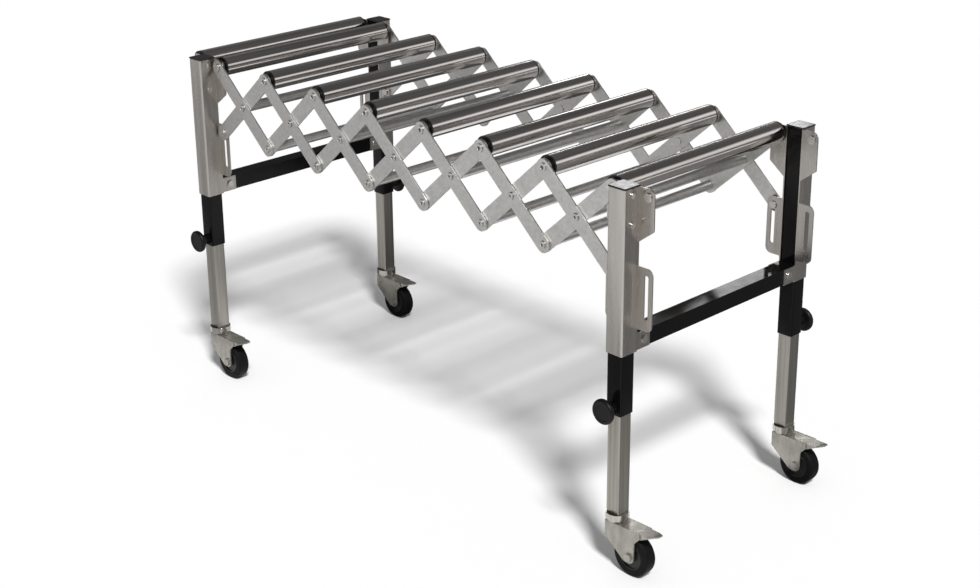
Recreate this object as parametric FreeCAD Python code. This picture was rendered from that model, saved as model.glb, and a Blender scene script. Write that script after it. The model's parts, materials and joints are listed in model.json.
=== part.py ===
import FreeCAD, Part
import math
import os

V = FreeCAD.Vector
os.makedirs("parts", exist_ok=True)

# Pull-out roller table on casters. X runs along the table, Y across it, Z up from the floor.
# The table is pulled out to its stop. Near means the -Y side, far the +Y side. All sizes are in mm.

# Scissor sides and rollers
unit_count = 7
roller_pitch = 152.0
link_length = 205.0
link_width = 30.0
link_thickness = 3.0
link_gap = 0.4
inside_width = 430.0
roller_diameter = 38.0
roller_wall = 1.5
roller_gap = 4.0
roller_end_gap = 2.0
end_cap_flange = 3.0
end_cap_depth = 14.0
end_cap_groove = 1.2
axle_diameter = 12.0
axle_neck_diameter = 10.0
axle_head_diameter = 16.0
spacer_diameter = 17.0
pivot_diameter = 8.0
pivot_head_diameter = 14.0
pivot_head_height = 2.5
tie_tube_diameter = 20.0
tie_rod_diameter = 18.0
tied_middle_pivots = (0, 2, 4, 6)
tied_lower_pivots = (1, 3, 5, 6)

# End frames: square posts, cross bar, folded sheet brackets
post_side = 32.0
post_wall = 1.5
post_corner_radius = 2.5
post_length = 397.0
crossbar_height = 30.0
crossbar_lift = 2.0
sheet = 2.5
bend_radius = 3.5
bracket_length = 287.0
pivot_reach = 19.0
ear_reach = 32.0
upper_ear_height = 70.0
upper_ear_taper = 26.0
ear_corner_radius = 12.0
ear_foot_radius = 4.0
slot_ear_radius = 12.0
slot_spare = 6.0
slot_margin_above = 12.0
slot_margin_below = 20.0
axle_drop = 14.5
tab_length = 32.0
tab_bolt_inset = 18.0
tab_bolt_diameter = 8.0
tab_bolt_head_diameter = 14.0
rivet_diameter = 6.0
rivet_head_diameter = 10.0
rivet_head_height = 2.5
rivet_drops = (12.0, 62.0)
post_cap_thickness = 3.0
post_cap_lip = 0.3
post_cap_plug = 12.0

# Telescopic legs and their clamp knobs
leg_side = 28.0
leg_wall = 1.5
leg_corner_radius = 2.0
leg_extension = 186.0
leg_overlap = 195.0
leg_plug_depth = 34.0
knob_diameter = 45.0
knob_thickness = 10.0
knob_edge_radius = 4.0
knob_neck_diameter = 16.0
knob_neck_length = 12.0
knob_lift = 14.0
clamp_screw_diameter = 8.0
clamp_nut_width = 18.0
clamp_nut_height = 7.0

# Swivel casters with a foot brake
wheel_diameter = 75.0
wheel_width = 25.0
tyre_thickness = 13.0
tyre_edge_radius = 4.0
hub_recess = 2.5
caster_trail = 41.0
caster_axle_diameter = 8.0
caster_nut_diameter = 14.0
caster_nut_height = 4.0
fork_sheet = 2.5
fork_side_gap = 1.5
fork_top_gap = 13.0
fork_heel = 14.0
fork_toe = 12.0
fork_foot_radius = 11.0
fork_heel_height = 28.0
fork_toe_height = 22.0
cheek_reach = 64.0
cheek_nose_height = 10.0
race_diameter = 42.0
race_height = 15.6
race_neck_diameter = 34.0
race_neck_height = 4.0
race_margin = 2.5
stem_diameter = 10.0
stem_length = 30.0
pedal_reach = 98.0
pedal_thickness = 2.5
pedal_rise = 5.0
pedal_tip_width = 9.0
pedal_pin_diameter = 3.0
pedal_pin_offset = 14.0
pedal_pin_drop = 5.0
pedal_tip_length = 16.0
pedal_flange_depth = 10.0
pedal_lug_half = 7.0
foot_round_share = 0.98
slot_round_share = 0.98

# Clearances
running_clearance = 0.1
seat_clearance = 0.05
open_pivot_clearance = 0.3
slot_clearance = 0.3
joint_gap = 0.4
overrun = 1.0

# Levels and places that follow from the sizes
link_rise = math.sqrt(link_length**2 - roller_pitch**2)
closed_pitch = roller_diameter + roller_gap
closed_rise = math.sqrt(link_length**2 - closed_pitch**2)

caster_axle_z = wheel_diameter / 2
fork_under_z = wheel_diameter + fork_top_gap
fork_top_z = fork_under_z + fork_sheet
leg_bottom_z = fork_top_z + race_height + joint_gap
post_bottom_z = leg_bottom_z + leg_extension
post_top_z = post_bottom_z + post_length
upper_pivot_z = post_top_z - axle_drop
middle_pivot_z = upper_pivot_z - link_rise / 2
lower_pivot_z = upper_pivot_z - link_rise
bracket_bottom_z = post_top_z - bracket_length
crossbar_bottom_z = bracket_bottom_z + crossbar_lift
crossbar_top_z = crossbar_bottom_z + crossbar_height

bracket_half = post_side / 2 + sheet
pivot_offset = bracket_half + pivot_reach
post_spacing = unit_count * roller_pitch + 2 * pivot_offset
left_reach = pivot_offset + roller_diameter / 2
right_reach = pedal_reach
left_post_x = -(post_spacing + right_reach - left_reach) / 2
right_post_x = left_post_x + post_spacing
first_pivot_x = left_post_x + pivot_offset

ear_in = inside_width / 2
ear_out = ear_in + sheet
inner_link_in = ear_out + link_gap
inner_link_out = inner_link_in + link_thickness
outer_link_in = inner_link_out + link_gap
outer_link_out = outer_link_in + link_thickness
roller_face = ear_in - roller_end_gap
roller_tube_end = roller_face - end_cap_flange
post_y = ear_out + post_side / 2
post_bore = post_side - 2 * post_wall
neck_radius = axle_neck_diameter / 2
pivot_radius = pivot_diameter / 2
clamp_z = post_bottom_z + knob_lift
rivet_hole_radius = rivet_diameter / 2 + seat_clearance
tab_hole_radius = tab_bolt_diameter / 2 + seat_clearance
tab_bolt_y = ear_in - tab_bolt_inset
tab_bolt_z = (crossbar_bottom_z + crossbar_top_z) / 2
pedal_pin_x = caster_trail + pedal_pin_offset
pedal_pin_z = fork_under_z - pedal_pin_drop
fork_plate_reach = race_diameter / 2 + race_margin


def block(x0, x1, y0, y1, z0, z1):
    """A box between two corners."""
    return Part.makeBox(x1 - x0, y1 - y0, z1 - z0, V(x0, y0, z0))


def rod(axis, centre, radius, start, end):
    """A round bar along one axis, from start to end on that axis; centre holds its other two places."""
    a, b = centre
    at = {"x": V(start, a, b), "y": V(a, start, b), "z": V(a, b, start)}[axis]
    way = {"x": V(1, 0, 0), "y": V(0, 1, 0), "z": V(0, 0, 1)}[axis]
    return Part.makeCylinder(radius, end - start, at, way)


def joined(shapes):
    """One solid of several that touch or overlap."""
    first, rest = shapes[0], shapes[1:]
    return first.multiFuse(rest).removeSplitter() if rest else first


def turned(centre, steps):
    """A pin turned along Y: each step is its radius, start and end."""
    return joined([rod("y", centre, radius, start, end) for radius, start, end in steps])


def mirrored(shape):
    """The same piece on the other side of the table."""
    return shape.mirror(V(0, 0, 0), V(0, 1, 0))


def both_sides(shape):
    """A far piece and its near twin."""
    return [shape, mirrored(shape)]


def moved(shape, x=0, y=0, z=0):
    """A copy of a piece at another place."""
    copy = shape.copy()
    copy.translate(V(x, y, z))
    return copy


def plate(corners, radii, y0, y1):
    """A flat plate in the XZ plane, between y0 and y1, with each corner rounded to its radius."""
    edges = []
    count = len(corners)
    trims = []
    for i, radius in enumerate(radii):
        corner = V(corners[i][0], y0, corners[i][1])
        before = V(corners[i - 1][0], y0, corners[i - 1][1])
        after = V(corners[(i + 1) % count][0], y0, corners[(i + 1) % count][1])
        u, w = (before - corner).normalize(), (after - corner).normalize()
        half = u.getAngle(w) / 2
        cut = radius / math.tan(half)
        middle = corner
        if radius:
            bisector = (u + w).normalize()
            middle = corner + bisector * (radius / math.sin(half) - radius)
        trims.append((corner + u * cut, middle, corner + w * cut))
    for i, (start, middle, end) in enumerate(trims):
        if radii[i]:
            edges.append(Part.Arc(start, middle, end).toShape())
        following = trims[(i + 1) % count][0]
        if (following - end).Length > seat_clearance:
            edges.append(Part.LineSegment(end, following).toShape())
    return Part.Face(Part.Wire(edges)).extrude(V(0, y1 - y0, 0))


def eased(shape, radius, at_y=None):
    """Rounds the upright edges of a block, or only those at one y."""
    edges = []
    for edge in shape.Edges:
        first, last = edge.Vertexes[0].Point, edge.Vertexes[-1].Point
        upright = abs(first.x - last.x) + abs(first.y - last.y) < seat_clearance
        if upright and (at_y is None or abs(first.y - at_y) < seat_clearance):
            edges.append(edge)
    return shape.makeFillet(radius, edges)


def bar(start, end, y0, y1, holes):
    """A flat bar with round ends, in the XZ plane, with a list of holes as place and radius."""
    (ax, az), (bx, bz) = start, end
    length = math.hypot(bx - ax, bz - az)
    u = V((bx - ax) / length, 0, (bz - az) / length)
    w = V(-u.z, 0, u.x) * (link_width / 2)
    a, b = V(ax, y0, az), V(bx, y0, bz)
    tip = u * (link_width / 2)
    edges = [
        Part.LineSegment(a - w, b - w).toShape(),
        Part.Arc(b - w, b + tip, b + w).toShape(),
        Part.LineSegment(b + w, a + w).toShape(),
        Part.Arc(a + w, a - tip, a - w).toShape(),
    ]
    solid = Part.Face(Part.Wire(edges)).extrude(V(0, y1 - y0, 0))
    for centre, radius in holes:
        solid = solid.cut(rod("y", centre, radius, y0 - overrun, y1 + overrun))
    return solid


def hexagon(centre_x, centre_z, width, y0, y1):
    """A six-sided nut along Y."""
    radius = width / math.sqrt(3)
    corners = []
    for k in range(6):
        angle = math.pi / 3 * k
        corners.append((centre_x + radius * math.cos(angle), centre_z + radius * math.sin(angle)))
    return plate(corners, [0] * 6, y0, y1)


def save(name, solids):
    """Writes a node's solids."""
    Part.makeCompound(solids).exportStep("parts/" + name + ".step")


def upper(i):
    """Place of an upper pivot, where a roller runs."""
    return first_pivot_x + i * roller_pitch, upper_pivot_z


def lower(i):
    """Place of a lower pivot."""
    return first_pivot_x + i * roller_pitch, lower_pivot_z


def middle(i):
    """Place of the pivot where a pair of links crosses."""
    return first_pivot_x + i * roller_pitch + roller_pitch / 2, middle_pivot_z


# Square outer post of one corner, at x = 0 on the far side, with the holes of its rivets and clamp screw
def post():
    half, bore = post_side / 2, post_bore / 2
    tube = eased(
        block(-half, half, post_y - half, post_y + half, post_bottom_z, post_top_z), post_corner_radius
    )
    inside = block(-bore, bore, post_y - bore, post_y + bore, post_bottom_z - overrun, post_top_z + overrun)
    tube = tube.cut(inside)
    for drop in rivet_drops:
        tube = tube.cut(rod("x", (post_y, post_top_z - drop), rivet_hole_radius, -post_side, post_side))
    screw_hole = rod("y", (0, clamp_z), clamp_screw_diameter / 2 + joint_gap, post_y, post_y + post_side)
    return tube.cut(screw_hole)


# Nut welded to the outside of a post, for the clamp screw
def clamp_nut():
    face = post_y + post_side / 2
    nut = hexagon(0, clamp_z, clamp_nut_width, face, face + clamp_nut_height)
    bore_radius = clamp_screw_diameter / 2 + running_clearance
    return nut.cut(rod("y", (0, clamp_z), bore_radius, face - overrun, face + clamp_nut_height + overrun))


# Square cross bar between the two posts of an end frame, bolted between the bracket tabs
def crossbar():
    half, bore = post_side / 2, post_side / 2 - post_wall
    end = ear_out
    bar_solid = block(-half, half, -end, end, crossbar_bottom_z, crossbar_top_z)
    floor, roof = crossbar_bottom_z + post_wall, crossbar_top_z - post_wall
    bar_solid = bar_solid.cut(block(-bore, bore, -end - overrun, end + overrun, floor, roof))
    for side in (-1, 1):
        centre = (side * tab_bolt_y, tab_bolt_z)
        bar_solid = bar_solid.cut(rod("x", centre, tab_hole_radius, -post_side, post_side))
    return bar_solid


# Folded sheet bracket round a post: a channel, two upper ears for axles, two slotted lower ears, two tabs
def bracket():
    half = bracket_half
    back = post_y + post_side / 2 + sheet
    shell = eased(block(-half, half, ear_in, back, bracket_bottom_z, post_top_z), bend_radius, back)
    inner, low_end, high_end = post_side / 2, bracket_bottom_z - overrun, post_top_z + overrun
    pieces = [shell.cut(block(-inner, inner, ear_in - overrun, back - sheet, low_end, high_end))]
    for side in (-1, 1):
        root = side * post_side / 2
        edge = side * (half + ear_reach)
        pivot_x = side * pivot_offset
        low = post_top_z - upper_ear_height
        ear = plate(
            [(root, post_top_z), (edge, post_top_z), (edge, low), (root, low - upper_ear_taper)],
            [0, ear_corner_radius, ear_foot_radius, 0],
            ear_in,
            ear_out,
        )
        hole_radius = neck_radius + seat_clearance
        ear = ear.cut(rod("y", (pivot_x, upper_pivot_z), hole_radius, ear_in - overrun, ear_out + overrun))
        slot_half = pivot_radius + slot_clearance
        slot_top = lower_pivot_z + slot_half
        slot_bottom = upper_pivot_z - closed_rise - slot_half - slot_spare
        top, bottom = slot_top + slot_margin_above, slot_bottom - slot_margin_below
        slot_ear = plate(
            [(root, top), (edge, top), (edge, bottom), (root, bottom)],
            [0, slot_ear_radius, slot_ear_radius, 0],
            ear_in,
            ear_out,
        )
        slot = plate(
            [
                (pivot_x - slot_half, slot_top),
                (pivot_x + slot_half, slot_top),
                (pivot_x + slot_half, slot_bottom),
                (pivot_x - slot_half, slot_bottom),
            ],
            [slot_half * slot_round_share] * 4,
            ear_in - overrun,
            ear_out + overrun,
        )
        wall = sorted((root, side * half))
        tab = block(wall[0], wall[1], ear_in - tab_length, ear_in, crossbar_bottom_z, crossbar_top_z)
        tab_hole = rod("x", (tab_bolt_y, tab_bolt_z), tab_hole_radius, -post_side, post_side)
        pieces += [ear, slot_ear.cut(slot), tab.cut(tab_hole)]
    whole = joined(pieces)
    for drop in rivet_drops:
        whole = whole.cut(rod("x", (post_y, post_top_z - drop), rivet_hole_radius, -post_side, post_side))
    return whole


# Flat plastic cap plugged into the top of a post
def post_cap():
    half = bracket_half + post_cap_lip
    plug = post_bore / 2 - seat_clearance
    top = block(-half, half, post_y - half, post_y + half, post_top_z, post_top_z + post_cap_thickness)
    stub = block(-plug, plug, post_y - plug, post_y + plug, post_top_z - post_cap_plug, post_top_z)
    return joined([top, stub])


# Blind rivets that hold a bracket to its post, and the bolt through the tabs and the cross bar
def frame_rivets():
    out = []
    for drop in rivet_drops:
        centre = (post_y, post_top_z - drop)
        for side in (-1, 1):
            inner, face = side * (post_bore / 2), side * bracket_half
            shank = rod("x", centre, rivet_diameter / 2, *sorted((inner, face)))
            head_end = face + side * rivet_head_height
            head = rod("x", centre, rivet_head_diameter / 2, *sorted((face, head_end)))
            out.append(joined([shank, head]))
    return out


def tab_bolt():
    centre = (tab_bolt_y, tab_bolt_z)
    steps = [rod("x", centre, tab_bolt_diameter / 2, -bracket_half, bracket_half)]
    for side in (-1, 1):
        ends = sorted((side * bracket_half, side * (bracket_half + pivot_head_height)))
        steps.append(rod("x", centre, tab_bolt_head_diameter / 2, *ends))
    return joined(steps)


# Roller axle between two ears or two links: thick between its shoulders, necked at the ends, riveted over
def axle(centre, shoulder, head_start):
    head_end = head_start + pivot_head_height
    steps = [(axle_diameter / 2, -shoulder, shoulder), (neck_radius, -head_start, head_start)]
    for side in (-1, 1):
        steps.append((axle_head_diameter / 2, *sorted((side * head_start, side * head_end))))
    return turned(centre, steps)


# Sleeve that keeps a roller, or a link, in its place along an axle
def sleeve(centre, bore_radius, start, end):
    ring = rod("y", centre, spacer_diameter / 2, start, end)
    return ring.cut(rod("y", centre, bore_radius, start - overrun, end + overrun))


def roller_sleeves(centre, shoulder):
    return both_sides(sleeve(centre, axle_diameter / 2 + seat_clearance, roller_face + joint_gap, shoulder))


# Riveted pin at one pivot on the far side
def pivot_pin(centre, inner_face, outer_face):
    head = pivot_head_diameter / 2
    return turned(
        centre,
        [
            (head, inner_face - pivot_head_height, inner_face),
            (pivot_radius, inner_face, outer_face),
            (head, outer_face, outer_face + pivot_head_height),
        ],
    )


# Rod from side to side that ties both scissor sides together, with its ends riveted over like the pins
def tie_rod(centre, radius, inner_face, outer_face):
    steps = [(radius, -inner_face, inner_face), (pivot_radius, -outer_face, outer_face)]
    for side in (-1, 1):
        ends = sorted((side * outer_face, side * (outer_face + pivot_head_height)))
        steps.append((pivot_head_diameter / 2, *ends))
    return turned(centre, steps)


# Outer links of one scissor unit, with the axle and the lower pins that are riveted in them
def outer_links(i):
    axle_play = running_clearance if i == 0 else seat_clearance
    holes = [
        (upper(i), neck_radius + axle_play),
        (middle(i), pivot_radius + running_clearance),
        (lower(i + 1), pivot_radius + seat_clearance),
    ]
    solids = both_sides(bar(upper(i), lower(i + 1), outer_link_in, outer_link_out, holes))
    shoulder = inner_link_in - link_gap
    if i:
        solids.append(axle(upper(i), shoulder, outer_link_out))
        solids += roller_sleeves(upper(i), shoulder)
    if i + 1 in tied_lower_pivots:
        solids.append(tie_rod(lower(i + 1), tie_rod_diameter / 2, shoulder, outer_link_out))
    elif i + 1 < unit_count:
        solids += both_sides(pivot_pin(lower(i + 1), shoulder, outer_link_out))
    else:
        solids += both_sides(pivot_pin(lower(i + 1), ear_in - link_gap, outer_link_out))
    return solids


# Inner links of one scissor unit, with their crossing pins; the first also has the pins of the left slots
def inner_links(i):
    lower_play = open_pivot_clearance if i else seat_clearance
    holes = [
        (upper(i + 1), neck_radius + running_clearance),
        (middle(i), pivot_radius + seat_clearance),
        (lower(i), pivot_radius + lower_play),
    ]
    solids = both_sides(bar(lower(i), upper(i + 1), inner_link_in, inner_link_out, holes))
    if i in tied_middle_pivots:
        solids.append(tie_rod(middle(i), tie_tube_diameter / 2, inner_link_in, outer_link_out + link_gap))
    else:
        solids += both_sides(pivot_pin(middle(i), inner_link_in, outer_link_out + link_gap))
    if i == 0:
        solids += both_sides(pivot_pin(lower(i), ear_in - link_gap, inner_link_out))
    return solids


# Roller tube, and the plastic ends that carry it on its axle
def roller_tube(centre):
    radius = roller_diameter / 2
    tube = rod("y", centre, radius, -roller_tube_end, roller_tube_end)
    inside = rod("y", centre, radius - roller_wall, -roller_tube_end - overrun, roller_tube_end + overrun)
    return tube.cut(inside)


def roller_end(centre):
    radius = roller_diameter / 2
    plug_radius = radius - roller_wall - seat_clearance
    flange = rod("y", centre, radius, roller_tube_end, roller_face)
    plug = rod("y", centre, plug_radius, roller_tube_end - end_cap_depth, roller_tube_end)
    ring = rod("y", centre, radius - roller_wall, roller_face - end_cap_groove, roller_face + overrun)
    ring = ring.cut(rod("y", centre, spacer_diameter / 2, roller_tube_end, roller_face + 2 * overrun))
    bore_radius = axle_diameter / 2 + running_clearance
    bore = rod("y", centre, bore_radius, roller_tube_end - 2 * end_cap_depth, ear_in)
    return joined([flange, plug]).cut(ring).cut(bore)


# Square inner leg with a plastic plug for the caster's stem, at x = 0 on the far side
def leg():
    half, bore = leg_side / 2, leg_side / 2 - leg_wall
    top = post_bottom_z + leg_overlap
    tube = eased(block(-half, half, post_y - half, post_y + half, leg_bottom_z, top), leg_corner_radius)
    tube = tube.cut(block(-bore, bore, post_y - bore, post_y + bore, leg_bottom_z - overrun, top + overrun))
    fit = bore - seat_clearance
    plug = block(-fit, fit, post_y - fit, post_y + fit, leg_bottom_z, leg_bottom_z + leg_plug_depth)
    stem_bore = rod("z", (0, post_y), stem_diameter / 2 + running_clearance, leg_bottom_z - overrun, top)
    return [tube, plug.cut(stem_bore)]


# Round clamp knob with its screw, which bears on the leg through the welded nut
def knob():
    nut_face = post_y + post_side / 2 + clamp_nut_height
    neck_start = nut_face + joint_gap
    knob_start = neck_start + knob_neck_length
    knob_end = knob_start + knob_thickness
    tip = post_y + leg_side / 2 + joint_gap
    head = rod("y", (0, clamp_z), knob_diameter / 2, knob_start, knob_end)
    rims = [e for e in head.Edges if e.isClosed() and e.Curve.Radius > knob_neck_diameter / 2]
    head = head.makeFillet(knob_edge_radius, rims)
    neck = rod("y", (0, clamp_z), knob_neck_diameter / 2, neck_start, knob_start)
    screw = rod("y", (0, clamp_z), clamp_screw_diameter / 2, tip, neck_start)
    return joined([head, neck, screw])


# Caster fork folded from sheet, with its swivel race and stem, axle bolt and brake pin; it swivels at x = 0
def fork():
    cheek_in = wheel_width / 2 + fork_side_gap
    cheek_out = cheek_in + fork_sheet
    toe = caster_trail + fork_toe
    near, far = post_y - cheek_out, post_y + cheek_out
    top = block(-fork_heel, fork_plate_reach, near, far, fork_under_z, fork_top_z)
    foot = fork_foot_radius
    corners = [
        (-fork_heel, fork_top_z),
        (cheek_reach, fork_top_z),
        (cheek_reach, fork_top_z - cheek_nose_height),
        (toe, fork_top_z - fork_toe_height),
        (caster_trail + foot, caster_axle_z + foot),
        (caster_trail + foot, caster_axle_z - foot),
        (caster_trail - foot, caster_axle_z - foot),
        (-fork_heel, fork_top_z - fork_heel_height),
    ]
    radii = [0, 0, 0, fork_sheet, 0, foot * foot_round_share, foot * foot_round_share, fork_sheet]
    cheeks = []
    for side in (-1, 1):
        y0, y1 = sorted((post_y + side * cheek_in, post_y + side * cheek_out))
        cheek = plate(corners, radii, y0, y1)
        for centre, radius in (
            ((caster_trail, caster_axle_z), caster_axle_diameter / 2),
            ((pedal_pin_x, pedal_pin_z), pedal_pin_diameter / 2),
        ):
            cheek = cheek.cut(rod("y", centre, radius + seat_clearance, y0 - overrun, y1 + overrun))
        cheeks.append(cheek)
    race_start, race_top = fork_top_z + race_neck_height, fork_top_z + race_height
    race_neck = rod("z", (0, post_y), race_neck_diameter / 2, fork_top_z, race_start)
    race = rod("z", (0, post_y), race_diameter / 2, race_start, race_top)
    stem = rod("z", (0, post_y), stem_diameter / 2, race_top, leg_bottom_z + stem_length)
    axle_bolt = [rod("y", (caster_trail, caster_axle_z), caster_axle_diameter / 2, near, far)]
    pin = rod("y", (pedal_pin_x, pedal_pin_z), pedal_pin_diameter / 2, near, far)
    for side in (-1, 1):
        ends = sorted((post_y + side * cheek_out, post_y + side * (cheek_out + caster_nut_height)))
        axle_bolt.append(hexagon(caster_trail, caster_axle_z, caster_nut_diameter, *ends))
    return [joined([top] + cheeks + [race_neck, race, stem]), joined(axle_bolt), pin]


# Rubber tyre on a plastic hub
def wheel():
    centre = (caster_trail, caster_axle_z)
    half = wheel_width / 2
    hub_radius = wheel_diameter / 2 - tyre_thickness
    tyre = rod("y", centre, wheel_diameter / 2, post_y - half, post_y + half)
    rims = [e for e in tyre.Edges if e.isClosed() and e.Curve.Radius > hub_radius]
    tyre = tyre.makeFillet(tyre_edge_radius, rims)
    tyre = tyre.cut(rod("y", centre, hub_radius, post_y - wheel_width, post_y + wheel_width))
    hub = rod("y", centre, hub_radius - seat_clearance, post_y - half, post_y + half)
    for side in (-1, 1):
        ends = sorted((post_y + side * (half - hub_recess), post_y + side * wheel_width))
        dish = rod("y", centre, hub_radius - hub_recess, *ends)
        hub = hub.cut(dish.cut(rod("y", centre, caster_nut_diameter / 2, *ends)))
    bore_radius = caster_axle_diameter / 2 + running_clearance
    return [tyre, hub.cut(rod("y", centre, bore_radius, post_y - wheel_width, post_y + wheel_width))]


# Brake pedal between the fork's cheeks: a tread with a raised narrow tip, and two flanges that turn on the pin
def pedal():
    half = wheel_width / 2 + fork_side_gap - joint_gap
    over, under = fork_top_z, fork_top_z - pedal_thickness
    heel = fork_plate_reach + joint_gap
    bend = pedal_reach - pedal_tip_length
    side_view = plate(
        [
            (heel, under),
            (heel, over),
            (bend, over),
            (pedal_reach, over + pedal_rise),
            (pedal_reach, under + pedal_rise),
            (bend, under),
        ],
        [0] * 6,
        post_y - half,
        post_y + half,
    )
    tip = pedal_tip_width / 2
    plan = [(heel, -half), (bend, -half), (pedal_reach, -tip), (pedal_reach, tip), (bend, half), (heel, half)]
    outline = Part.makePolygon([V(x, post_y + y, under) for x, y in plan + plan[:1]])
    tread = side_view.common(Part.Face(outline).extrude(V(0, 0, pedal_thickness + pedal_rise)))
    low = under - pedal_flange_depth
    lug_start, lug_end = pedal_pin_x - pedal_lug_half, pedal_pin_x + pedal_lug_half
    flanges = []
    for side in (-1, 1):
        y0, y1 = sorted((post_y + side * (half - pedal_thickness), post_y + side * half))
        corners = [(lug_start, under), (bend, under), (lug_end, low), (lug_start, low)]
        flange = plate(corners, [0, 0, pedal_thickness, pedal_thickness], y0, y1)
        bore_radius = pedal_pin_diameter / 2 + running_clearance
        bore = rod("y", (pedal_pin_x, pedal_pin_z), bore_radius, y0 - overrun, y1 + overrun)
        flanges.append(flange.cut(bore))
    return joined([tread] + flanges)


# The two end frames
for name, post_x in (("left", left_post_x), ("right", right_post_x)):
    tubes = both_sides(post()) + both_sides(clamp_nut()) + [crossbar()]
    save(name + "_frame_tubes", [moved(s, post_x) for s in tubes])
    save(name + "_brackets", [moved(s, post_x) for s in both_sides(bracket())])
    save(name + "_post_caps", [moved(s, post_x) for s in both_sides(post_cap())])
    fasteners = []
    for rivet in frame_rivets() + [tab_bolt()]:
        fasteners += [moved(s, post_x) for s in both_sides(rivet)]
    inner_x = post_x + pivot_offset if name == "left" else post_x - pivot_offset
    outer_x = post_x - pivot_offset if name == "left" else post_x + pivot_offset
    inner_axle = (inner_x, upper_pivot_z)
    outer_axle = (outer_x, upper_pivot_z)
    if name == "left":
        fasteners.append(axle(inner_axle, ear_in, outer_link_out + link_gap))
        washer = sleeve(inner_axle, neck_radius + seat_clearance, ear_out, outer_link_in - link_gap)
        fasteners += both_sides(washer)
        fasteners.append(axle(outer_axle, ear_in, ear_out))
        fasteners += roller_sleeves(outer_axle, ear_in)
    else:
        fasteners.append(axle(inner_axle, ear_in, inner_link_out + link_gap))
        spare_bolt = turned(
            outer_axle,
            [
                (axle_head_diameter / 2, ear_in - pivot_head_height, ear_in),
                (neck_radius, ear_in, ear_out),
                (axle_head_diameter / 2, ear_out, ear_out + pivot_head_height),
            ],
        )
        fasteners += both_sides(spare_bolt)
    fasteners += roller_sleeves(inner_axle, ear_in)
    save(name + "_fasteners", fasteners)

# Scissor links
for unit in range(unit_count):
    save("outer_links_" + str(unit + 1), outer_links(unit))
    save("inner_links_" + str(unit + 1), inner_links(unit))

# Rollers: the first hangs outside the left frame, the others run on the upper pivots
roller_places = [(left_post_x - pivot_offset, upper_pivot_z)]
roller_places += [upper(i) for i in range(unit_count + 1)]
for number, place in enumerate(roller_places, start=1):
    save("roller_" + str(number), [roller_tube(place)])
    save("roller_ends_" + str(number), both_sides(roller_end(place)))

# Legs, knobs and casters at the four corners
corner_names = {
    "left_near": (left_post_x, -1),
    "left_far": (left_post_x, 1),
    "right_near": (right_post_x, -1),
    "right_far": (right_post_x, 1),
}
for corner, (post_x, side) in corner_names.items():
    y_shift = 0 if side > 0 else -2 * post_y
    knob_shape = knob() if side > 0 else mirrored(knob())
    save("leg_" + corner, [moved(s, post_x, y_shift) for s in leg()])
    save("knob_" + corner, [moved(knob_shape, post_x)])
    save("caster_fork_" + corner, [moved(s, post_x, y_shift) for s in fork()])
    save("wheel_" + corner, [moved(s, post_x, y_shift) for s in wheel()])
    save("brake_pedal_" + corner, [moved(pedal(), post_x, y_shift)])
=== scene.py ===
import bpy, json, math
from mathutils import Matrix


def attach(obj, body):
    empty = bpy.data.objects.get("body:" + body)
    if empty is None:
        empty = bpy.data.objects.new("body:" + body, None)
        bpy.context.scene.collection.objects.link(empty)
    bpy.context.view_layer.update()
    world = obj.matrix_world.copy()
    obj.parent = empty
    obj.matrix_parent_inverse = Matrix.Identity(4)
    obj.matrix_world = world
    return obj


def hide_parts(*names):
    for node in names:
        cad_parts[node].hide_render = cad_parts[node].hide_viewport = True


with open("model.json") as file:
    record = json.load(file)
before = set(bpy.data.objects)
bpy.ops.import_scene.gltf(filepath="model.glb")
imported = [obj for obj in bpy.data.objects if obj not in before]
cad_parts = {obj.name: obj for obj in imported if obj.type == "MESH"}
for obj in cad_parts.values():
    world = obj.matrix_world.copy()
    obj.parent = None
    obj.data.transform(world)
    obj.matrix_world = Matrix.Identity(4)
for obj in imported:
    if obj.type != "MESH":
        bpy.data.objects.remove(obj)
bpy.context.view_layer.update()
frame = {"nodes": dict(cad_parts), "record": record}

# Square steel posts and cross bars of the two end frames, with the clamp nuts welded on.
# They are tube with a black gloss coat, whose sharp ends are rounded by the coat.
weld_distance = 0.00001
flat_angle = math.radians(0.5)
smooth_angle = math.radians(35)
sharp_angle = math.radians(40)
noise_detail = 4.0
noise_low = 0.3
noise_high = 0.7
grain_depth = 0.0003
frame_ends = ("left", "right")
body_of_node = {}
for body, members in frame["record"]["behaviour"]["bodies"].items():
    for member in members:
        body_of_node[member] = body


def new_finish(name, color, metallic, roughness, specular=0.5):
    finish = bpy.data.materials.new(name)
    finish.use_nodes = True
    shader = finish.node_tree.nodes["Principled BSDF"]
    shader.inputs["Base Color"].default_value = (*color, 1.0)
    shader.inputs["Metallic"].default_value = metallic
    shader.inputs["Roughness"].default_value = roughness
    shader.inputs["Specular IOR Level"].default_value = specular
    return finish


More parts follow.
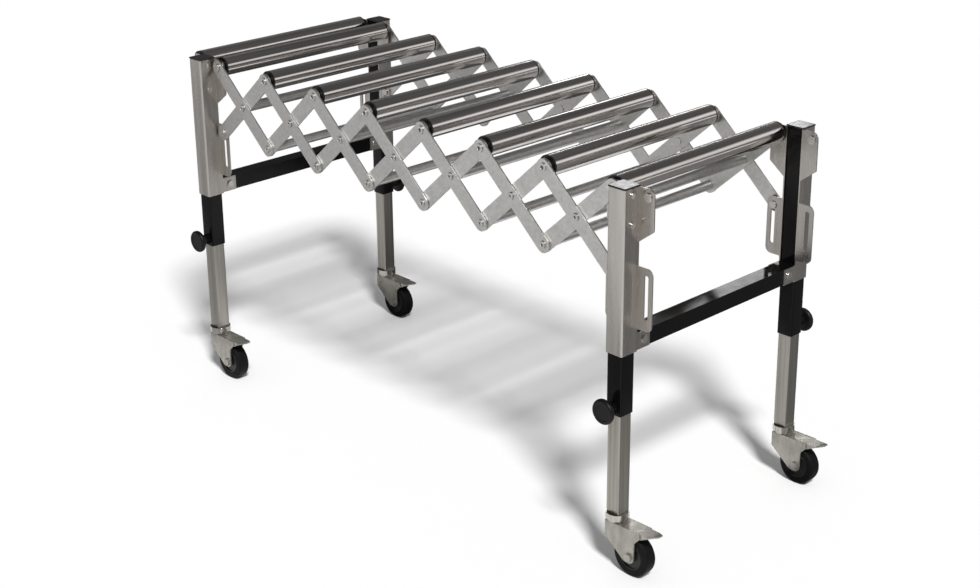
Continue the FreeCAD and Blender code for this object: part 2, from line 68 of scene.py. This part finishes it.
def mottle_group():
    group = bpy.data.node_groups.new("Mottle", "ShaderNodeTree")
    for socket in ("Scale X", "Scale Y", "Scale Z"):
        group.interface.new_socket(socket, in_out="INPUT", socket_type="NodeSocketFloat")
    group.interface.new_socket("Amount", in_out="OUTPUT", socket_type="NodeSocketFloat")
    nodes, links = group.nodes, group.links
    entry, leave = nodes.new("NodeGroupInput"), nodes.new("NodeGroupOutput")
    coords = nodes.new("ShaderNodeTexCoord")
    stretch = nodes.new("ShaderNodeCombineXYZ")
    mapping = nodes.new("ShaderNodeMapping")
    noise = nodes.new("ShaderNodeTexNoise")
    noise.inputs["Scale"].default_value = 1.0
    noise.inputs["Detail"].default_value = noise_detail
    spread = nodes.new("ShaderNodeMapRange")
    spread.inputs["From Min"].default_value = noise_low
    spread.inputs["From Max"].default_value = noise_high
    for axis in "XYZ":
        links.new(entry.outputs["Scale " + axis], stretch.inputs[axis])
    links.new(coords.outputs["Object"], mapping.inputs["Vector"])
    links.new(stretch.outputs["Vector"], mapping.inputs["Scale"])
    links.new(mapping.outputs["Vector"], noise.inputs["Vector"])
    links.new(noise.outputs["Fac"], spread.inputs["Value"])
    links.new(spread.outputs["Result"], leave.inputs["Amount"])
    return group


mottle = mottle_group()


def mottle_node(finish, scales):
    node = finish.node_tree.nodes.new("ShaderNodeGroup")
    node.node_tree = mottle
    for axis, scale in zip("XYZ", scales):
        node.inputs["Scale " + axis].default_value = scale
    return node.outputs["Amount"]


def vary_roughness(finish, scales, low, high):
    nodes, links = finish.node_tree.nodes, finish.node_tree.links
    spread = nodes.new("ShaderNodeMapRange")
    spread.inputs["To Min"].default_value = low
    spread.inputs["To Max"].default_value = high
    links.new(mottle_node(finish, scales), spread.inputs["Value"])
    links.new(spread.outputs["Result"], nodes["Principled BSDF"].inputs["Roughness"])


def vary_color(finish, scales, dark, light):
    nodes, links = finish.node_tree.nodes, finish.node_tree.links
    ramp = nodes.new("ShaderNodeValToRGB")
    ramp.color_ramp.elements[0].color = (*dark, 1.0)
    ramp.color_ramp.elements[1].color = (*light, 1.0)
    links.new(mottle_node(finish, scales), ramp.inputs["Fac"])
    links.new(ramp.outputs["Color"], nodes["Principled BSDF"].inputs["Base Color"])


def add_grain(finish, scales, strength, depth=grain_depth):
    nodes, links = finish.node_tree.nodes, finish.node_tree.links
    bump = nodes.new("ShaderNodeBump")
    bump.inputs["Strength"].default_value = strength
    bump.inputs["Distance"].default_value = depth
    links.new(mottle_node(finish, scales), bump.inputs["Height"])
    links.new(bump.outputs["Normal"], nodes["Principled BSDF"].inputs["Normal"])


def pick(piece):
    bpy.ops.object.select_all(action="DESELECT")
    piece.select_set(True)
    bpy.context.view_layer.objects.active = piece


def merged_copy(node_name):
    pick(frame["nodes"][node_name])
    bpy.ops.object.duplicate()
    piece = bpy.context.object
    piece.name = "eased_" + node_name
    bpy.ops.object.mode_set(mode="EDIT")
    bpy.ops.mesh.select_all(action="SELECT")
    bpy.ops.mesh.customdata_custom_splitnormals_clear()
    bpy.ops.mesh.remove_doubles(threshold=weld_distance)
    bpy.ops.mesh.dissolve_limited(angle_limit=flat_angle)
    bpy.ops.mesh.select_all(action="DESELECT")
    bpy.ops.object.mode_set(mode="OBJECT")
    return piece


def ease_edges(piece, width, segments=2):
    pick(piece)
    bpy.ops.object.shade_smooth_by_angle(angle=smooth_angle)
    bevel = piece.modifiers.new("Eased", "BEVEL")
    bevel.width = width
    bevel.segments = segments
    bevel.limit_method = "ANGLE"
    bevel.angle_limit = sharp_angle
    bevel.harden_normals = True
    bpy.ops.object.modifier_apply(modifier="Eased")


def stand_for(piece, node_name, *finishes):
    piece.data.materials.clear()
    for finish in finishes:
        piece.data.materials.append(finish)
    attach(piece, body_of_node[node_name])
    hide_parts(node_name)


black_paint = new_finish(
    "Black_Gloss_Paint", color=(0.004, 0.0035, 0.0035), metallic=0.0, roughness=0.16, specular=0.12
)
vary_roughness(black_paint, scales=(40, 40, 40), low=0.08, high=0.16)
add_grain(black_paint, scales=(900, 900, 900), strength=0.04)
for end in frame_ends:
    tubes = merged_copy(end + "_frame_tubes")
    ease_edges(tubes, width=0.0008)
    stand_for(tubes, end + "_frame_tubes", black_paint)

# Brackets of folded zinc plated sheet, riveted to the posts.
# Their ears carry the end axles and the slots that guide the scissors' last pins.
bracket_zinc = new_finish(
    "Bracket_Zinc", color=(0.46, 0.43, 0.40), metallic=1.0, roughness=0.36
)
vary_color(bracket_zinc, scales=(70, 70, 5), dark=(0.40, 0.375, 0.35), light=(0.50, 0.475, 0.45))
vary_roughness(bracket_zinc, scales=(90, 90, 6), low=0.24, high=0.34)
for end in frame_ends:
    brackets = merged_copy(end + "_brackets")
    ease_edges(brackets, width=0.0006, segments=3)
    stand_for(brackets, end + "_brackets", bracket_zinc)

# Flat moulded caps plugged into the tops of the posts.
# They are black plastic with a rounded rim and a slight sheen.
plastic_patches = (90, 90, 90)
plastic_grain = (1500, 1500, 1500)
cap_plastic = new_finish(
    "Cap_Plastic", color=(0.011, 0.0105, 0.01), metallic=0.0, roughness=0.16, specular=0.45
)
vary_roughness(cap_plastic, plastic_patches, low=0.12, high=0.2)
add_grain(cap_plastic, plastic_grain, strength=0.05)
for end in frame_ends:
    caps = merged_copy(end + "_post_caps")
    ease_edges(caps, width=0.0012, segments=3)
    stand_for(caps, end + "_post_caps", cap_plastic)

# Rivets, tab bolts, end axles and spacers of the end frames.
# They are small zinc plated steel pieces with domed heads.
rivet_patches = (300, 300, 300)
fastener_zinc = new_finish(
    "Fastener_Zinc", color=(0.6, 0.58, 0.55), metallic=1.0, roughness=0.25
)
vary_roughness(fastener_zinc, rivet_patches, low=0.2, high=0.34)
for end in frame_ends:
    fasteners = merged_copy(end + "_fasteners")
    ease_edges(fasteners, width=0.0012, segments=3)
    stand_for(fasteners, end + "_fasteners", fastener_zinc)

# Scissor links: flat zinc plated bars, riveted in pairs at the middle and hinged to the next pair.
# The axles, pins and tie rods are riveted over at their ends, which leaves a hollow in each head,
# and the hollows are given a dark finish as painted shade.
link_units = 7
end_tolerance = 0.0004
flat_end_normal = 0.9995
link_zinc = new_finish("Link_Zinc", color=(0.56, 0.55, 0.53), metallic=1.0, roughness=0.38)
vary_color(link_zinc, scales=(160, 160, 160), dark=(0.50, 0.49, 0.475), light=(0.60, 0.59, 0.575))
vary_roughness(link_zinc, scales=(60, 60, 60), low=0.34, high=0.46)
# The rivet hollows' dark finish is painted shade in the recess, darker than the steel's own
# colour.
rivet_hollow_painted_shade = new_finish(
    "Rivet_Hollow_Painted_Shade", color=(0.13, 0.125, 0.12), metallic=1.0, roughness=0.5
)
vary_roughness(rivet_hollow_painted_shade, rivet_patches, low=0.4, high=0.6)


def press_ends(piece, ends, rim, wall, depth, finish_index):
    pick(piece)
    places = [v.co.y for v in piece.data.vertices]
    levels = {"near": min(places), "far": max(places)}
    for face in piece.data.polygons:
        at_end = any(abs(face.center.y - levels[end]) < end_tolerance for end in ends)
        face.select = at_end and abs(face.normal.y) > flat_end_normal
    bpy.ops.object.mode_set(mode="EDIT")
    bpy.ops.mesh.select_mode(type="FACE")
    bpy.ops.mesh.inset(thickness=rim, depth=0.0)
    bpy.ops.mesh.inset(thickness=wall, depth=-depth)
    piece.active_material_index = finish_index
    bpy.ops.object.material_slot_assign()
    bpy.ops.mesh.select_all(action="DESELECT")
    bpy.ops.object.mode_set(mode="OBJECT")


for number in range(1, link_units + 1):
    for side in ("outer", "inner"):
        node_name = "%s_links_%d" % (side, number)
        links = merged_copy(node_name)
        stand_for(links, node_name, link_zinc, rivet_hollow_painted_shade)
        # The pressed hollows take the dark finish, which is painted shade.
        press_ends(
            links, ("near", "far"), rim=0.0042, wall=0.0004, depth=0.0012, finish_index=1
        )
        ease_edges(links, width=0.0005)

# Rollers: polished steel tubes, drawn along their length, that turn on their axles.
# Black plastic ends are pressed into the tubes and run on the axles.
roller_count = 9


def paint(node_name, finish):
    mesh = frame["nodes"][node_name].data
    mesh.materials.clear()
    mesh.materials.append(finish)


black_plastic = new_finish(
    "Black_Plastic", color=(0.008, 0.008, 0.0084), metallic=0.0, roughness=0.35, specular=0.3
)
vary_roughness(black_plastic, plastic_patches, low=0.28, high=0.4)
add_grain(black_plastic, plastic_grain, strength=0.08)
roller_steel = new_finish(
    "Roller_Steel", color=(0.62, 0.60, 0.58), metallic=1.0, roughness=0.12
)
vary_color(roller_steel, scales=(90, 2, 90), dark=(0.52, 0.485, 0.465), light=(0.72, 0.68, 0.655))
vary_roughness(roller_steel, scales=(60, 1.5, 60), low=0.1, high=0.2)
add_grain(roller_steel, scales=(160, 2, 160), strength=0.04, depth=0.0006)
for number in range(1, roller_count + 1):
    paint("roller_%d" % number, roller_steel)
    paint("roller_ends_%d" % number, black_plastic)

# Telescopic legs of plain square tube, which slide in the posts.
# They are satin steel, with the draw marks running along them.
corners = ("left_near", "left_far", "right_near", "right_far")
leg_steel = new_finish("Leg_Steel", color=(0.34, 0.33, 0.29), metallic=1.0, roughness=0.34)
vary_color(leg_steel, scales=(220, 220, 3), dark=(0.29, 0.28, 0.25), light=(0.42, 0.405, 0.365))
vary_roughness(leg_steel, scales=(150, 150, 3), low=0.28, high=0.42)
for corner in corners:
    leg = merged_copy("leg_" + corner)
    ease_edges(leg, width=0.0004)
    stand_for(leg, "leg_" + corner, leg_steel)

# Clamp knobs: round moulded heads with a dished face, on a screw that bears on the leg.
# They are dull black plastic and turn in the nut that is welded to the post.
knob_plastic = new_finish(
    "Knob_Plastic", color=(0.0045, 0.0045, 0.0045), metallic=0.0, roughness=0.45, specular=0.22
)
vary_roughness(knob_plastic, plastic_patches, low=0.36, high=0.5)
add_grain(knob_plastic, plastic_grain, strength=0.08)
for corner in corners:
    side = corner.split("_")[1]
    knob = merged_copy("knob_" + corner)
    stand_for(knob, "knob_" + corner, knob_plastic)
    press_ends(knob, (side,), rim=0.0025, wall=0.0008, depth=0.0009, finish_index=0)
    ease_edges(knob, width=0.0005, segments=3)

# Caster forks: sheet folded over the wheel and riveted to a ball race that swivels under the leg.
# They are zinc plated steel with a milky sheen, and the race above them is brighter.
# The axle bolt and the brake's pin go through the cheeks.
fork_top = 0.0908
caster_zinc = new_finish(
    "Caster_Zinc", color=(0.36, 0.34, 0.31), metallic=0.72, roughness=0.28
)
vary_color(caster_zinc, scales=(60, 60, 25), dark=(0.27, 0.255, 0.23), light=(0.42, 0.4, 0.365))
vary_roughness(caster_zinc, scales=(60, 60, 30), low=0.22, high=0.34)
race_steel = new_finish("Race_Steel", color=(0.5, 0.48, 0.45), metallic=1.0, roughness=0.16)
vary_color(race_steel, scales=(150, 150, 60), dark=(0.40, 0.38, 0.355), light=(0.56, 0.54, 0.51))
vary_roughness(race_steel, scales=(150, 150, 60), low=0.12, high=0.2)
for corner in corners:
    fork = merged_copy("caster_fork_" + corner)
    ease_edges(fork, width=0.0009, segments=3)
    stand_for(fork, "caster_fork_" + corner, caster_zinc, race_steel)
    for face in fork.data.polygons:
        face.material_index = 1 if face.center.z > fork_top else 0

# Caster wheels: a matt black rubber tyre on a moulded hub of smoother black plastic.
# They turn on the bolt through the fork's cheeks.
hub_radius = 0.0248
rubber = new_finish(
    "Wheel_Rubber", color=(0.0045, 0.0042, 0.0042), metallic=0.0, roughness=0.55, specular=0.12
)
vary_roughness(rubber, plastic_patches, low=0.5, high=0.68)
add_grain(rubber, scales=(700, 700, 700), strength=0.15, depth=0.0004)
hub_plastic = new_finish(
    "Hub_Plastic", color=(0.012, 0.0115, 0.011), metallic=0.0, roughness=0.32, specular=0.3
)
vary_roughness(hub_plastic, plastic_patches, low=0.26, high=0.4)
for corner in corners:
    wheel = merged_copy("wheel_" + corner)
    ease_edges(wheel, width=0.0008)
    stand_for(wheel, "wheel_" + corner, rubber, hub_plastic)
    points = [v.co for v in wheel.data.vertices]
    axle_x = (min(p.x for p in points) + max(p.x for p in points)) / 2
    axle_z = (min(p.z for p in points) + max(p.z for p in points)) / 2
    for face in wheel.data.polygons:
        reach = max(math.hypot(points[i].x - axle_x, points[i].z - axle_z) for i in face.vertices)
        face.material_index = 1 if reach < hub_radius else 0

# Brake pedals: pressed zinc plated treads between the fork's cheeks, tipping on a pin.
# Their narrow end is bent up for the toe.
for corner in corners:
    pedal = merged_copy("brake_pedal_" + corner)
    ease_edges(pedal, width=0.0006)
    stand_for(pedal, "brake_pedal_" + corner, caster_zinc)

# Studio: a white floor with the table's own shadow, under one soft lamp and a white surround.
# Boards that show only in reflections lie and stand round the table,
# as a photographer sets white and dark cards.
floor_size = 60.0
lamp_energy = 3.4
lamp_spread = math.radians(10)
lamp_tilt = math.radians(40)
lamp_turn = math.radians(60)
fill_strength = 0.29
mirrored_strength = 0.1
backdrop_strength = 1.0
white = (1, 1, 1, 1)
up = (0, 0, 1)

bpy.ops.object.select_all(action="DESELECT")
bpy.ops.mesh.primitive_plane_add(size=floor_size, location=(0, 0, 0))
floor = bpy.context.object
floor.name = "Floor"
floor_white = new_finish(
    "Floor_White", color=(0.9, 0.9, 0.9), metallic=0.0, roughness=0.9, specular=0.0
)
floor.data.materials.append(floor_white)


def fade_to_edges(glowing):
    nodes, links = glowing.node_tree.nodes, glowing.node_tree.links
    coords = nodes.new("ShaderNodeTexCoord")
    split = nodes.new("ShaderNodeSeparateXYZ")
    offset = nodes.new("ShaderNodeMath")
    offset.operation = "ABSOLUTE"
    soft = nodes.new("ShaderNodeMapRange")
    soft.interpolation_type = "SMOOTHSTEP"
    soft.inputs["From Min"].default_value = 0.5
    soft.inputs["From Max"].default_value = 0.0
    links.new(coords.outputs["Object"], split.inputs["Vector"])
    links.new(split.outputs["Y"], offset.inputs[0])
    links.new(offset.outputs["Value"], soft.inputs["Value"])
    links.new(soft.outputs["Result"], nodes["Principled BSDF"].inputs["Emission Color"])


def board(name, place, facing, width, height, glow, fade=False):
    bpy.ops.object.select_all(action="DESELECT")
    bpy.ops.mesh.primitive_plane_add(size=1.0)
    card = bpy.context.object
    card.name = name
    card.scale = (width, height, 1.0)
    card.location = place
    flat = math.hypot(facing[0], facing[1])
    card.rotation_euler = (math.atan2(flat, facing[2]), 0.0, math.atan2(facing[0], -facing[1]))
    glowing = new_finish(name, color=(0, 0, 0), metallic=0.0, roughness=1.0, specular=0.0)
    shader = glowing.node_tree.nodes["Principled BSDF"]
    shader.inputs["Emission Color"].default_value = white
    shader.inputs["Emission Strength"].default_value = glow
    if fade:
        fade_to_edges(glowing)
    card.data.materials.append(glowing)
    card.visible_camera = False
    card.visible_diffuse = False
    card.visible_shadow = False
    card.visible_transmission = False


board("Dark_Flag", (-1.44, 1.8, 0.004), up, width=4.1, height=3.4, glow=0.08)
board("Grey_Flag", (2.56, 1.9, 0.004), up, width=3.9, height=4.2, glow=0.24)
board("Band", (2.5, 3.2, 2.0), (-2.5, -3.2, 0), width=6.0, height=2.6, glow=1.15, fade=True)
board("Leg_Flag", (0.82, 0.04, 0.006), up, width=0.42, height=0.48, glow=0.42)
board("Soft_Flag", (-2.3, -1.5, 0.006), up, width=1.8, height=1.2, glow=0.4)
board("Front_Flag", (-0.6, -0.55, 0.006), up, width=1.6, height=0.4, glow=0.48)
board("Pale_Flag", (0.3, 0.42, 0.006), up, width=0.5, height=0.6, glow=1.1)
board("Step_Flag", (-1.5, -0.93, 0.008), up, width=3.3, height=0.34, glow=0.4)
board("Back_Light", (-2.03, 3.2, 2.05), (1, 0, 0), width=1.5, height=0.5, glow=5.0)
board("Low_Strip", (-3.0, 3.4, 2.7), (3.0, -3.4, 0), width=7.0, height=0.4, glow=0.3)
board("High_Strip", (-3.0, 3.4, 4.0), (3.0, -3.4, 0), width=8.0, height=0.6, glow=0.22)

lamp_data = bpy.data.lights.new("Lamp", "SUN")
lamp_data.energy = lamp_energy
lamp_data.angle = lamp_spread
lamp = bpy.data.objects.new("Lamp", lamp_data)
bpy.context.collection.objects.link(lamp)
lamp.rotation_euler = (lamp_tilt, 0.0, lamp_turn)

world = bpy.data.worlds.new("Studio")
bpy.context.scene.world = world
world.use_nodes = True
tree = world.node_tree


def surround(strength):
    sky = tree.nodes.new("ShaderNodeBackground")
    sky.inputs["Color"].default_value = white
    sky.inputs["Strength"].default_value = strength
    return sky.outputs["Background"]


light_path = tree.nodes.new("ShaderNodeLightPath")
by_gloss = tree.nodes.new("ShaderNodeMixShader")
by_camera = tree.nodes.new("ShaderNodeMixShader")
tree.links.new(light_path.outputs["Is Glossy Ray"], by_gloss.inputs["Fac"])
tree.links.new(surround(fill_strength), by_gloss.inputs[1])
tree.links.new(surround(mirrored_strength), by_gloss.inputs[2])
tree.links.new(light_path.outputs["Is Camera Ray"], by_camera.inputs["Fac"])
tree.links.new(by_gloss.outputs["Shader"], by_camera.inputs[1])
tree.links.new(surround(backdrop_strength), by_camera.inputs[2])
tree.links.new(by_camera.outputs["Shader"], tree.nodes["World Output"].inputs["Surface"])

# Camera: it stands where the photograph was taken, above the near right corner.
# The lens is shifted down and to the left, which keeps the posts close to upright.
camera_drop = math.radians(21.146)
camera_turn = math.radians(44.691)
camera_data = bpy.data.cameras.new("Camera")
camera_data.sensor_width = 36.0
camera_data.lens = 64.249
camera_data.shift_x = -0.0408
camera_data.shift_y = -0.0347
camera = bpy.data.objects.new("Camera", camera_data)
bpy.context.collection.objects.link(camera)
camera.location = (2.2914, -2.2075, 1.5807)
camera.rotation_euler = (math.pi / 2 - camera_drop, 0.0, camera_turn)
bpy.context.scene.camera = camera
bpy.context.scene.view_settings.view_transform = "Standard"
